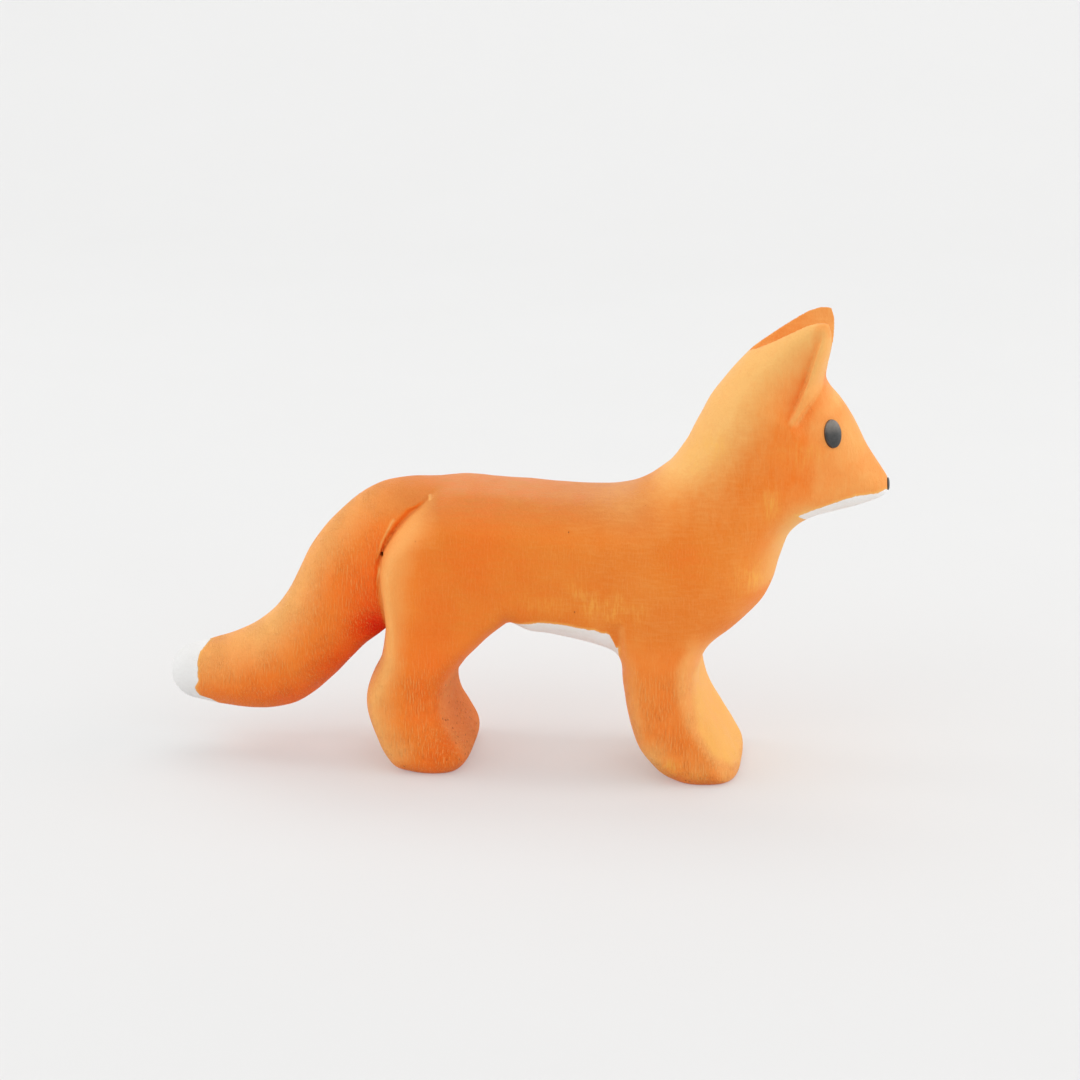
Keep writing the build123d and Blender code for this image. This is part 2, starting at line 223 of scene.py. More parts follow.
class Shape:
    """The carved fox as one implicit solid: positive inside."""

    def __init__(self, step=0.2):
        self.step, self.x0, self.z0 = step, -64.0, -3.0
        self.nx, self.nz = int(round(128 / step)) + 1, int(round(84 / step)) + 1
        px, pz = np.meshgrid(self.x0 + step * np.arange(self.nx), self.z0 + step * np.arange(self.nz), indexing="ij")
        Hb = plate(H_BODY, px, pz, 2.0, 14.2)
        Rb = plate(R_BODY, px, pz, 1.5, 9.5)
        qb = plate(Q_BODY, px, pz, 2.0, 5.6)
        Ht = plate(H_TAIL, px, pz, 3.5, 8.9)
        Rt = plate(R_TAIL, px, pz, 3.0, 9.5)
        db = signed_distance(px, pz, catmull(BODY)) + 0.07
        dt = signed_distance(px, pz, catmull(TAIL)) + 0.07
        eb = blur((1 - np.clip(db / Rb, -1.5, 1)) ** 2, 0.5 / step)
        et = blur((1 - np.clip(dt / Rt, -1.5, 1)) ** 2, 0.65 / step)
        # ear: scooped up to its rim, hollowed in front of it
        sd, dep = along(px, pz, STOP, STOP_D)
        a = np.abs(sd)
        rear = np.where(sd < 0, np.exp(-(a / 4.0) ** 1.1), 1 - smooth(0.0, 0.4, sd))
        sd2, dep2 = along(px, pz, TEMPLE, TEMPLE_D)
        a2 = np.abs(sd2)
        front = np.where(sd2 > 0, np.exp(-(a2 / 2.6) ** 1.3), 1 - smooth(0.0, 0.5, -sd2))
        Hb = Hb - blur(dep * rear + dep2 * front, 0.13 / step)
        # step where the belly meets the foreleg
        sd3, dep3 = along(px, pz, STEP_LINE, STEP_D)
        a3 = np.abs(sd3)
        notch = np.where(sd3 < 0, np.exp(-(a3 / 1.5) ** 1.5), 1 - smooth(0.0, 1.3, sd3))
        Hb = Hb - blur(dep3 * notch, 0.25 / step)
        # cut beside the haunch
        sc, dc = along(px, pz, CREASE, CREASE_D)
        wide = 0.30 + 0.25 * smooth(0.9, 1.3, dc)
        Ht = Ht - blur(dc * np.exp(-(np.maximum(np.abs(sc) - 0.12, 0) / wide) ** 2), 0.1 / step)
        self.maps = np.stack([eb, Hb, qb, et, Ht])

    def look_up(self, x, z):
        fx = np.clip((x - self.x0) / self.step, 1, self.nx - 2.001)
        fz = np.clip((z - self.z0) / self.step, 1, self.nz - 2.001)
        i, j = fx.astype(int), fz.astype(int)
        u, v = fx - i, fz - j

        def w(t):
            return (-0.5 * t + t * t - 0.5 * t ** 3, 1 - 2.5 * t * t + 1.5 * t ** 3,
                    0.5 * t + 2 * t * t - 1.5 * t ** 3, -0.5 * t * t + 0.5 * t ** 3)

        wu, wv = w(u), w(v)
        out = np.zeros((len(self.maps),) + x.shape)
        for a in range(4):
            for b in range(4):
                out += self.maps[:, i + a - 1, j + b - 1] * (wu[a] * wv[b])
        return out

    @staticmethod
    def ear_gap(x, z):
        """Half width of the V between the ears, negative below its floor."""
        ye = 6.4 * np.clip((x - 37.4) / 12.1, 0, 1.12) ** 0.5
        zf = 71.1 - 0.317 * (x - 37.2)
        zt = 71.4 + 0.496 * np.clip(x - 37.2, 0, 12.3)
        up = z - zf
        return np.where(up > 0, ye * (np.maximum(up, 0) / np.maximum(zt - zf, 0.3)) ** 0.7, up * 0.8)

    def value(self, x, y, z, maps=None):
        if maps is None:
            maps = self.look_up(x, z)
        eb, Hb, qb, et, Ht = maps
        ay = np.abs(y)
        fb = 1 - eb - (ay / Hb) ** qb
        ft = 1 - et - (ay / Ht) ** 2.3
        k = 0.02 + 0.20 * smooth(45.8, 48.8, z)
        h = np.clip(0.5 + 0.5 * (fb - ft) / k, 0, 1)
        f = ft * (1 - h) + fb * h + k * h * (1 - h)
        fn = 0.28 * (ay - self.ear_gap(x, z))
        k = 0.04
        h = np.clip(0.5 + 0.5 * (fn - f) / k, 0, 1)
        f = fn * (1 - h) + f * h - k * h * (1 - h)
        return np.minimum(f, 0.4 * z)       # flat soles

    def project(self, v, times=2, limit=0.25):
        e = 0.03
        for _ in range(times):
            f = self.value(v[:, 0], v[:, 1], v[:, 2])
            g = np.stack([self.value(*(v + e * np.eye(3)[a]).T) - f for a in range(3)], 1) / e
            d = -f[:, None] * g / ((g ** 2).sum(1, keepdims=True) + 1e-6)
            size = np.linalg.norm(d, axis=1, keepdims=True)
            v = v + d * np.minimum(1, limit / (size + 1e-9))
        return v


def surface_nets(f, origin, st):
    nx, ny, nz = f.shape
    ins = f > 0
    corners = [(i, j, k) for i in (0, 1) for j in (0, 1) for k in (0, 1)]
    count = sum(ins[i:nx - 1 + i, j:ny - 1 + j, k:nz - 1 + k].astype(np.int8) for i, j, k in corners)
    act = (count > 0) & (count < 8)
    index = np.full(act.shape, -1)
    ids = np.argwhere(act)
    index[act] = np.arange(len(ids))
    acc, num = np.zeros((len(ids), 3)), np.zeros(len(ids))
    for a in corners:
        for ax in range(3):
            if a[ax]:
                continue
            b = list(a)
            b[ax] = 1
            fa = f[ids[:, 0] + a[0], ids[:, 1] + a[1], ids[:, 2] + a[2]]
            fb = f[ids[:, 0] + b[0], ids[:, 1] + b[1], ids[:, 2] + b[2]]
            m = (fa > 0) != (fb > 0)
            p = np.array(a, float)[None].repeat(len(ids), 0)
            p[:, ax] = np.where(m, fa / np.where(m, fa - fb, 1.0), 0)
            acc[m] += p[m]
            num[m] += 1
    v = (ids + acc / num[:, None]) * st + origin
    quads = []
    for ax in range(3):
        lo, hi = [slice(None)] * 3, [slice(None)] * 3
        lo[ax], hi[ax] = slice(0, -1), slice(1, None)
        a, b = ins[tuple(lo)], ins[tuple(hi)]
        e = np.argwhere(a != b)
        u, w = [(1, 2), (2, 0), (0, 1)][ax]

        def at(du, dw):
            q = e.copy()
            q[:, u] += du
            q[:, w] += dw
            return index[q[:, 0], q[:, 1], q[:, 2]]

        Q = np.stack([at(-1, -1), at(0, -1), at(0, 0), at(-1, 0)], 1)
        flip = a[e[:, 0], e[:, 1], e[:, 2]]
        Q[~flip] = Q[~flip][:, ::-1]
        quads.append(Q)
    return v, np.concatenate(quads)


def unpinch(f):
    """Fills grid cells that touch only across a diagonal, so that the surface stays a clean sheet."""
    for _ in range(20):
        count = 0
        for u, w in ((0, 1), (0, 2), (1, 2)):
            def part(du, dw):
                sl = [slice(None)] * 3
                sl[u] = slice(1, None) if du else slice(0, -1)
                sl[w] = slice(1, None) if dw else slice(0, -1)
                return f[tuple(sl)]

            q = [part(0, 0), part(0, 1), part(1, 1), part(1, 0)]
            s = [a > 0 for a in q]
            m = (s[0] == s[2]) & (s[1] == s[3]) & (s[0] != s[1])
            count += m.sum()
            for a in q:
                a[m & (a <= 0)] = 1e-3
        if count == 0:
            break
    return f


def wobble(p, length, seed):
    """Soft hand-made unevenness: a fixed sum of waves, about -1 to 1."""
    rng = np.random.default_rng(seed)
    out = np.zeros(len(p))
    for _ in range(9):
        k = rng.normal(size=3)
        k *= 2 * math.pi / (length * rng.uniform(0.7, 1.5)) / np.linalg.norm(k)
        out += np.sin(p @ k + rng.uniform(0, 6.28))
    return out / 4.0


def relax(v, q, amount):
    s, c = np.zeros_like(v), np.zeros(len(v))
    for k in range(4):
        for o in (1, 3):
            for a in range(3):
                s[:, a] += np.bincount(q[:, k], v[q[:, (k + o) % 4], a], len(v))
            c += np.bincount(q[:, k], minlength=len(v))
    return v + amount * (s / c[:, None] - v)


def detail(p):
    """Fine carving marks, mm along the surface normal."""
    out = np.zeros(len(p))
    near = np.nonzero((p[:, 0] < -12) & (p[:, 0] > -26) & (p[:, 2] > 29) & (np.abs(p[:, 1]) > 2))[0]
    x, z = p[near, 0], p[near, 2]
    h = np.zeros(len(near))
    for line, heights, width in THREADS:
        d, value = along(x, z, np.array(line), np.array(heights))
        h += value * np.exp(-(d / width) ** 2)
    r = np.hypot(x - PIN[0], z - PIN[1])
    out[near] = h - PIN[3] * np.exp(-(r / PIN[2]) ** 4)
    return out


def face_out(bm):
    """Face normals all pointing out of the solid."""
    bmesh.ops.recalc_face_normals(bm, faces=bm.faces[:])
    if bm.calc_volume(signed=True) < 0:
        bmesh.ops.reverse_faces(bm, faces=bm.faces[:])


def carve():
    shape = Shape()
    st = 0.45
    origin = np.array([-62.1, -15.3, -1.02])
    n = (np.array([124.2, 30.6, 81.0]) / st).astype(int) + 1
    gx, gy, gz = (origin[a] + st * np.arange(n[a]) for a in range(3))
    x2, z2 = np.meshgrid(gx, gz, indexing="ij")
    maps = shape.look_up(x2, z2)
    X, Y, Z = np.meshgrid(gx, gy, gz, indexing="ij")
    f = shape.value(X, Y, Z, [np.broadcast_to(m[:, None, :], X.shape) for m in maps])
    v, q = surface_nets(unpinch(f), origin, st)
    v = shape.project(v, 2)
    for _ in range(2):
        v = shape.project(relax(v, q, 0.5), 1)
    v = shape.project(v, 1)
    me = bpy.data.meshes.new("whole")
    me.from_pydata(v.tolist(), [], q.tolist())
    bm = bmesh.new()
    bm.from_mesh(me)
    # finer mesh round the cut, the ears, the eyes, the muzzle tip, the belly step and the edge of the soles
    for level in (0, 1):
        c = np.array([f.calc_center_median() for f in bm.faces])
        x, y, z = c.T
        out = np.abs(y) > 2
        cut = np.where(out & (x < -10), np.abs(along(x, z, CREASE, CREASE_D)[0]), 99.0)
        if level == 0:
            pick = (cut < 2.4) | ((x > 39) & (z > 69)) | ((z < 0.9) & (z > 0.02)) | (x > 57)
            for line, d in ((STEP_LINE, STEP_D), (STOP, STOP_D), (TEMPLE, TEMPLE_D)):
                pick |= (np.abs(along(x, z, line, d)[0]) < 1.5) & out
            pick |= (np.hypot(x - EYE["x"], z - EYE["z"]) < 3.4) & out
        else:
            pick = (cut < 1.2) & (z > 29.5)
        bm.faces.ensure_lookup_table()
        edges = {e for i in np.nonzero(pick)[0] for e in bm.faces[i].edges}
        bmesh.ops.subdivide_edges(bm, edges=list(edges), cuts=1, use_grid_fill=True)
    face_out(bm)
    bm.to_mesh(me)
    bm.free()
    v = np.zeros(len(me.vertices) * 3)
    me.vertices.foreach_get("co", v)
    v = shape.project(v.reshape(-1, 3), 2)
    me.vertices.foreach_set("co", v.ravel())
    me.update()
    nrm = np.zeros(len(v) * 3)
    me.vertex_normals.foreach_get("vector", nrm)
    nrm = nrm.reshape(-1, 3)
    # knife and sanding unevenness, none on the soles, the eye and nose seats
    free = smooth(0.6, 3.0, v[:, 2])
    face = smooth(2.5, 5.0, np.hypot(v[:, 0] - EYE["x"], v[:, 2] - EYE["z"])) * smooth(57.0, 54.0, v[:, 0])
    free = free * np.where(v[:, 0] > 40, face, 1.0)
    v = v + nrm * (free * (0.10 * wobble(v, 13.0, 3) + 0.035 * wobble(v, 4.5, 4)) + detail(v))[:, None]
    me.vertices.foreach_set("co", (v * MM).ravel())
    me.update()
    nrm = np.zeros(len(v) * 3)
    me.vertex_normals.foreach_get("vector", nrm)
    me.attributes.new("smooth_normal", "FLOAT_VECTOR", "POINT").data.foreach_set("vector", nrm)
    bm = bmesh.new()
    bm.from_mesh(me)
    bpy.data.meshes.remove(me)
    return shape, bm


shape, whole = carve()


# ------------------------------------------------------------------ meshes
def add_object(name, mesh):
    ob = bpy.data.objects.new(name, mesh)
    bpy.context.scene.collection.objects.link(ob)
    return ob


def cut_at(bm, y, keep_low):
    """Keeps one side of the plane y and closes the cut."""
    geom = bm.verts[:] + bm.edges[:] + bm.faces[:]
    res = bmesh.ops.bisect_plane(bm, geom=geom, dist=1e-8, plane_co=(0, y * MM, 0), plane_no=(0, 1, 0),
                                 clear_outer=keep_low, clear_inner=not keep_low)
    edges = [g for g in res["geom_cut"] if isinstance(g, bmesh.types.BMEdge)]
    bm.verts.index_update()
    ring = sorted({v for e in edges for v in e.verts}, key=lambda v: v.index)
    at = {v: i for i, v in enumerate(ring)}
    flat = [Vector((v.co.x / MM, v.co.z / MM)) for v in ring]
    _, _, tris, source, _, _ = delaunay_2d_cdt(flat, [(at[e.verts[0]], at[e.verts[1]]) for e in edges], [], 1, 1e-7)
    for t in tris:
        bm.faces.new([ring[source[i][0]] for i in t])


def prism(name, ring, origin, ax, ay, az, low, high):
    """Closed prism of a ring of (u, v) points, from low to high along az; mm."""
    bm = bmesh.new()
    rows = []
    for h in (low, high):
        rows.append([bm.verts.new((origin + u * ax + w * ay + h * az) * MM) for u, w in ring])
    n = len(ring)
    bm.faces.new(rows[0][::-1])
    bm.faces.new(rows[1])
    for i in range(n):
        bm.faces.new((rows[0][i], rows[0][(i + 1) % n], rows[1][(i + 1) % n], rows[1][i]))
    bmesh.ops.recalc_face_normals(bm, faces=bm.faces[:])
    me = bpy.data.meshes.new(name)
    bm.to_mesh(me)
    bm.free()
    return add_object(name, me)


def oval_ring(a, b, count=64):
    return [(a * math.cos(2 * math.pi * k / count), b * math.sin(2 * math.pi * k / count)) for k in range(count)]


def eye_axes(side):
    yaw, pitch = math.radians(EYE["yaw"]), math.radians(EYE["pitch"])
    out = Vector((math.sin(yaw) * math.cos(pitch), side * math.cos(yaw) * math.cos(pitch), math.sin(pitch))).normalized()
    fore = Vector((math.cos(yaw), -side * math.sin(yaw), 0.0)).normalized()
    return Vector((EYE["x"], side * EYE["y"], EYE["z"])), fore, out.cross(fore), out


def nose_axes():
    out = Vector((1, 0, 0.06)).normalized()
    side = Vector((0, 1, 0))
    return Vector((NOSE["x"], 0, NOSE["z"])), side, out.cross(side), out


def subtract(ob, cutters):
    for c in cutters:
        m = ob.modifiers.new("cut", "BOOLEAN")
        m.operation, m.solver, m.object = "DIFFERENCE", "EXACT", c
    dg = bpy.context.evaluated_depsgraph_get()
    me = bpy.data.meshes.new_from_object(ob.evaluated_get(dg))
    ob.modifiers.clear()
    ob.data = me
    for c in cutters:
        bpy.data.objects.remove(c)


def board(name, low, high):
    bm = whole.copy()
    if low is not None:
        cut_at(bm, low, False)
    if high is not None:
        cut_at(bm, high, True)
    face_out(bm)
    lay = bm.verts.layers.float_vector["smooth_normal"]
    seam = [(v.co.copy(), v[lay].copy()) for v in bm.verts if abs(abs(v.co.y) - CORE_HALF * MM) < 1e-8]
    bm.verts.layers.float_vector.remove(lay)
    me = bpy.data.meshes.new(name)
    bm.to_mesh(me)
    bm.free()
    ob = add_object(name, me)
    X, Y, Z = Vector((1, 0, 0)), Vector((0, 1, 0)), Vector((0, 0, 1))
    cutters = []
    for x, z in DOWELS:
        lo, hi = {"core": (-11, 11), "left": (5, BORE_HALF), "right": (-BORE_HALF, -5)}[name.split("_")[0]]
        cutters.append(prism("bore", oval_ring(BORE_R, BORE_R, 72), Vector((x, 0, z)), Z, X, Y, lo, hi))
    if name.startswith("core"):
        for s in (1, -1):
            o, u, w, n = eye_axes(s)
            cutters.append(prism("seat", oval_ring(EYE["a"] + FIT, EYE["b"] + FIT, 96), o, u, w, n, 0.0, 4.0))
            cutters.append(prism("peg_hole", oval_ring(EYE["peg"] + FIT, EYE["peg"] + FIT, 32), o, u, w, n, -EYE["peg_len"] - 0.2, 0.3))
        o, u, w, n = nose_axes()
        cutters.append(prism("seat", [(-6, -6), (6, -6), (6, 6), (-6, 6)], o, u, w, n, 0.0, 4.0))
        cutters.append(prism("peg_hole", oval_ring(NOSE["peg"] + FIT, NOSE["peg"] + FIT, 32), o, u, w, n, -NOSE["peg_len"] - 0.2, 0.3))
    subtract(ob, cutters)
    finish_board(ob, seam)
    return ob


def signed_white(p):
    """Distance in mm into the white-painted areas, negative outside."""
    x, y, z = p.T
    belly = np.interp(x, [-2.0, -0.8, 1.5, 4.3, 7.9, 10.3, 13.0, 14.5, 15.4, 16.2, 16.5],
                      [25.4, 26.2, 26.55, 27.0, 26.75, 26.25, 26.1, 25.6, 25.75, 23.9, 22.8]) - z
    belly = np.minimum(belly * 0.9, np.minimum(x + 0.9, 16.9 - x))
    belly = np.where(np.abs(z - 24) < 6, belly, -6.0)
    chin = np.interp(x, [45.7, 47.15, 49.7, 52.3, 53.5, 55.0, 56.5, 58.6, 59.6], [45.1, 45.6, 46.5, 47.4, 47.8, 48.1, 48.2, 48.3, 48.6]) - z
    chin = np.minimum(chin * 0.9, x - 45.6 - 0.9 * (45.2 - z))
    chin = np.where(z > 39, chin, -6.0)
    tip = np.interp(z, [7.5, 8.6, 9.3, 10.06, 11.0, 11.8, 12.4, 12.95, 16.6, 17.3, 18.0, 19.0],
                    [-51.6, -52.0, -52.7, -54.8, -55.15, -55.2, -54.9, -54.6, -54.9, -54.8, -54.15, -53.2]) - x
    return np.clip(np.maximum(np.maximum(belly, chin), tip), -6, 6)


# soft patches in the stain: x, z, size x, size z, strength. OCHRE is brushed on. The next table runs to yellow: yellow
# stain and painted light on the face, neck and paws where they turn to the lamps. The one after runs to red: red stain
# and painted shade under the tail, in the cut and by the legs. The last is painted shade on the tail root behind the
# haunch.
OCHRE = [(32, 56.6, 2.0, 2.4, 0.5), (28.8, 54.6, 1.6, 2.4, 0.4), (46.2, 55.8, 3.4, 2.0, 0.35), (41.4, 47.4, 1.3, 2.6, 0.60),
         (38.4, 35.0, 2.6, 2.6, 0.55), (10.4, 33.2, 1.8, 2.4, 0.42), (12.6, 31.0, 1.6, 2.6, 0.52), (16.4, 30.4, 2.2, 2.6, 0.58),
         (20.0, 30.0, 1.6, 1.8, 0.42), (25.8, 3.2, 1.6, 1.6, 0.70), (30, 2.2, 2.0, 0.9, 0.30), (4, 30.5, 6.0, 2.0, 0.25)]
YELLOW_STAIN_AND_LIGHT = [(54.6, 58.4, 3.0, 4.6, 0.30), (57.4, 51.4, 3.2, 4.2, 0.14), (51.6, 64.2, 1.5, 2.0, 0.42), (50.6, 66.0, 1.3, 1.5, 0.36), (45.5, 69.0, 2.0, 2.2, 0.10), (44.9, 65.6, 1.5, 2.2, 0.12), (47.8, 60.4, 1.6, 2.3, 0.20), (37.2, 29.2, 2.2, 2.2, 0.15), (40.6, 35.2, 2.0, 2.4, 0.10),
        (31.8, 48.6, 3.2, 3.4, 0.11), (37.1, 59.7, 2.4, 3.0, 0.08), (-13.3, 15.0, 2.0, 3.0, 0.13), (30.9, 3.6, 2.6, 2.4, 0.16), (-17.4, 3.0, 2.4, 2.0, 0.10), (-18.6, 4.0, 2.8, 2.6, 0.32), (23.0, 4.8, 2.4, 2.8, 0.48),
        (20.0, 11.0, 2.4, 6.0, 0.20), (-14.5, 42.5, 3.4, 3.4, 0.20), (25.5, 46.0, 5.0, 4.0, 0.08), (17.0, 46.5, 4.0, 3.0, 0.16)]
RED_STAIN_AND_SHADE = [(-31.0, 17.0, 5.0, 3.6, 0.34), (-40.0, 11.0, 7.0, 3.0, 0.15), (28.0, 38.8, 4.4, 3.8, 0.20), (-14.6, 14.0, 3.4, 9.0, 0.22),
        (-12.6, 4.0, 3.0, 4.0, 0.28), (-12.5, 27.0, 4.0, 5.0, 0.12), (-6.5, 40.0, 4.5, 5.0, 0.12), (-22.8, 39.3, 2.2, 2.6, 0.14), (-14.1, 43.6, 2.6, 2.4, 0.18)]
TAIL_ROOT_SHADE = [(-24.2, 29.0, 5.0, 9.0, 0.55), (-25.6, 24.0, 3.4, 4.0, 0.85)]
# strips beside the nape and ear, down the throat and along the haunch (x, z), with strengths. The nape strip is yellow
# stain with painted light, the throat strip yellow stain; the haunch strip and the tail-top line below are painted
# light on edges turned to the lamps.
NAPE_STAIN_AND_LIGHT = [(20.0, 47.6), (24.7, 52.2), (28.8, 59.2), (32.7, 65.8), (37.4, 71.2), (40.5, 73.5), (43.9, 76.0), (48.0, 78.0)]
THROAT = [(46.6, 44.3), (44.8, 41.6), (43.6, 38.8), (42.6, 35.5), (41.2, 32.6)]
THROAT_W = [0.80, 0.85, 0.80, 0.60, 0.35]
HAUNCH_LIGHT = [(-17.3, 42.8), (-19.1, 39.0), (-20.2, 34.0), (-20.3, 27.0), (-20.8, 20.0), (-23.0, 14.0), (-22.6, 9.0), (-20.8, 4.5)]
HAUNCH_LIGHT_W = [0.38, 0.50, 0.52, 0.50, 0.54, 0.56, 0.50, 0.36]
TAIL_TOP_LIGHT = [(-56.0, 17.6), (-50.2, 19.5), (-46.1, 21.5), (-43.1, 23.8), (-40.9, 26.4), (-38.6, 30.3), (-36.5, 34.8), (-33.9, 38.6),
            (-31.1, 41.6), (-28.3, 44.2), (-25.3, 46.2), (-20.0, 47.7), (-16.0, 48.0)]
TAIL_TOP_LIGHT_W = [0.56, 0.56, 0.56, 0.56, 0.50, 0.42, 0.38, 0.37, 0.36, 0.33, 0.25, 0.08, 0.0]
INSTEP = ([0.0, 2.2, 3.3, 5.7, 9.7, 14.4, 18.0, 19.6, 23.0], [37.4, 36.6, 35.2, 32.7, 30.3, 29.4, 29.2, 30.0, 31.4])
SHIN = ([0.0, 4.0, 6.7, 10.8, 15.8, 20.7, 23.4], [34.5, 33.0, 30.8, 28.1, 26.7, 26.8, 28.3])
FACET = ([0.0, 2.0, 3.8, 5.4, 8.4, 10.9, 12.9, 15.2, 17.0, 18.0, 19.0], [-8.6, -8.9, -9.5, -10.6, -12.3, -13.0, -12.8, -12.3, -11.3, -10.2, -8.8])


def patches(p, table):
    out = np.zeros(len(p))
    for x, z, sx, sz, w in table:
        out = np.maximum(out, w * np.exp(-((p[:, 0] - x) / sx) ** 2 - ((p[:, 2] - z) / sz) ** 2))
    return out


def finish_board(ob, seam):
    """Smooth shading that runs on over the glue lines, and the paint layout on the vertices."""
    me = ob.data
    nv, nf, nl = len(me.vertices), len(me.polygons), len(me.loops)
    co = np.zeros(nv * 3)
    me.vertices.foreach_get("co", co)
    p = co.reshape(-1, 3) / MM
    cen = np.zeros(nf * 3)
    me.polygons.foreach_get("center", cen)
    cen = cen.reshape(-1, 3) / MM
    f = shape.value(*cen.T)
    cut = np.abs(np.abs(cen[:, 1]) - CORE_HALF) < 1e-3          # glue faces, bores and seats
    for x, z in DOWELS:
        cut |= (np.hypot(cen[:, 0] - x, cen[:, 2] - z) < BORE_R + 0.05) & (np.abs(cen[:, 1]) < BORE_HALF + 0.05)
    cut |= (np.hypot(cen[:, 0] - EYE["x"], cen[:, 2] - EYE["z"]) < 3.2) & (f > 0.02)
    cut |= (cen[:, 0] > NOSE["x"] - 2.6) & (f > 0.02)
    me.polygons.foreach_set("use_smooth", ~cut)
    fl = np.zeros(nl, np.int32)
    me.loops.foreach_get("edge_index", fl)
    vi = np.zeros(nl, np.int32)
    me.loops.foreach_get("vertex_index", vi)
    total = np.zeros(nf, np.int32)
    me.polygons.foreach_get("loop_total", total)
    face_of = np.repeat(np.arange(nf), total)
    sharp = np.zeros(len(me.edges), bool)
    n_cut = np.bincount(fl, cut[face_of].astype(float), len(me.edges))
    n_all = np.bincount(fl, minlength=len(me.edges))
    sharp = (n_cut > 0) & (n_cut < n_all)
    at = me.attributes.get("sharp_edge") or me.attributes.new("sharp_edge", "BOOLEAN", "EDGE")
    at.data.foreach_set("value", sharp)
    tree = kdtree.KDTree(len(seam))
    for i, (c, _) in enumerate(seam):
        tree.insert(c, i)
    tree.balance()
    on_seam = np.abs(np.abs(p[:, 1]) - CORE_HALF) < 1e-4
    normals = np.zeros((nl, 3))
    found = {}
    for v in np.nonzero(on_seam)[0]:
        c, i, d = tree.find(Vector(co[3 * v:3 * v + 3]))
        if i is not None and d < 1e-6:
            found[v] = seam[i][1]
    for l in np.nonzero(on_seam[vi] & ~cut[face_of])[0]:
        n = found.get(vi[l])
        if n is not None:
            normals[l] = n
    me.normals_split_custom_set(normals.tolist())
    # paint layout
    vn = np.zeros(nv * 3)
    me.vertices.foreach_get("normal", vn)
    vn = vn.reshape(-1, 3)
    x, y, z = p.T
    nx, nz = vn[:, 0], vn[:, 2]
    out = np.abs(y) > 2.5
    # painted light and shade: lighter on surfaces turned towards the tail end, redder on the underside of the tail,
    # lighter on the lower face; redder towards the rear, paler towards the front
    tone = patches(p, YELLOW_STAIN_AND_LIGHT) + 0.26 * smooth(0.15, 0.8, -nx) * smooth(60, 50, x) - 0.34 * smooth(0.1, 0.7, -nz) * smooth(-24, -28, x) * smooth(-56, -34, x)
    tone += -0.08 * smooth(-24, -18, x) + 0.15 * smooth(-6, 24, x)
    tone += 0.32 * smooth(46.3, 50.3, x) * smooth(67, 64, z)
    # yellow stain with painted light along the nape and the back of the ear
    d, _ = along(x, z, np.array(NAPE_STAIN_AND_LIGHT), np.zeros(len(NAPE_STAIN_AND_LIGHT)))
    tone += 0.92 * smooth(13.0, 1.0, np.abs(d)) * smooth(45, 56, z) * smooth(20, 24, x) * smooth(49.5, 47, x)
    d, w = along(x, z, np.array(THROAT), np.array(THROAT_W))
    tone += w * np.exp(-(d / 2.8) ** 2) * smooth(31.5, 33.5, z)
    d, w = along(x, z, np.array(HAUNCH_LIGHT), np.array(HAUNCH_LIGHT_W))
    sc, dc = along(x, z, CREASE, CREASE_D)
    on_tail = smooth(0.1, -0.5, sc) * np.where(x < -27, 1.0, smooth(18.6, 20.2, z))
    # painted light along the rear edge of the haunch and hind leg
    tone += w * np.exp(-(d / 2.9) ** 2) * (1 - on_tail)
    # painted light along the top of the tail
    d, w = along(x, z, np.array(TAIL_TOP_LIGHT), np.array(TAIL_TOP_LIGHT_W))
    tone += w * smooth(9.0, 0.5, np.abs(d)) * on_tail
    # painted light on the front of the foreleg
    tone += 0.45 * smooth(-1.0, 1.2, x - np.interp(z, *SHIN)) * smooth(27, 22, z) * (x > 20)
    # painted shade: redder under the tail, in the cut and by the legs, with some red stain, and redder on the tail root
    # where it passes behind the haunch
    tone -= patches(p, RED_STAIN_AND_SHADE) + patches(p, TAIL_ROOT_SHADE) * on_tail
    # ear: painted shade behind its rim, a painted highlight on the rim and the ear tip, a little painted shade in the
    # hollow before it
    sd, dep = along(x, z, STOP, STOP_D)
    sd2, dep2 = along(x, z, TEMPLE, TEMPLE_D)
    tone -= out * 0.08 * np.where(sd < 0, dep / 2.0 * np.exp(sd / 2.4), 0) * smooth(74.5, 71.5, z)
    tone -= out * 0.04 * np.where(sd2 > 0, dep2 / 1.2 * np.exp(-sd2 / 1.2), 0)
    rim = smooth(0.05, 0.35, sd) * smooth(3.4, 2.4, sd) * np.where(sd2 < 0, 1.0, np.exp(-(sd2 / 0.4) ** 2)) * smooth(0.0, 0.5, dep) * out
    rim = np.maximum(rim, out * np.exp(-((x - 49.3) / 1.5) ** 2 - ((z - 75.4) / 2.0) ** 2))
    tone += rim * (0.52 + 0.34 * smooth(63, 70, z) - tone)
    gap = np.abs(y) - shape.ear_gap(x, z)
    inside = (gap < 0.25) & (x > 37.2) & (z > 66)
    tone = np.where(inside, 0.24 + 0.18 * smooth(44, 50, x), tone)
    # painted highlight: a thin pale line along the top edge of the near ear
    tone += 0.22 * np.exp(-((gap - 0.35) / 0.40) ** 2) * (x > 39) * smooth(69, 71, z)
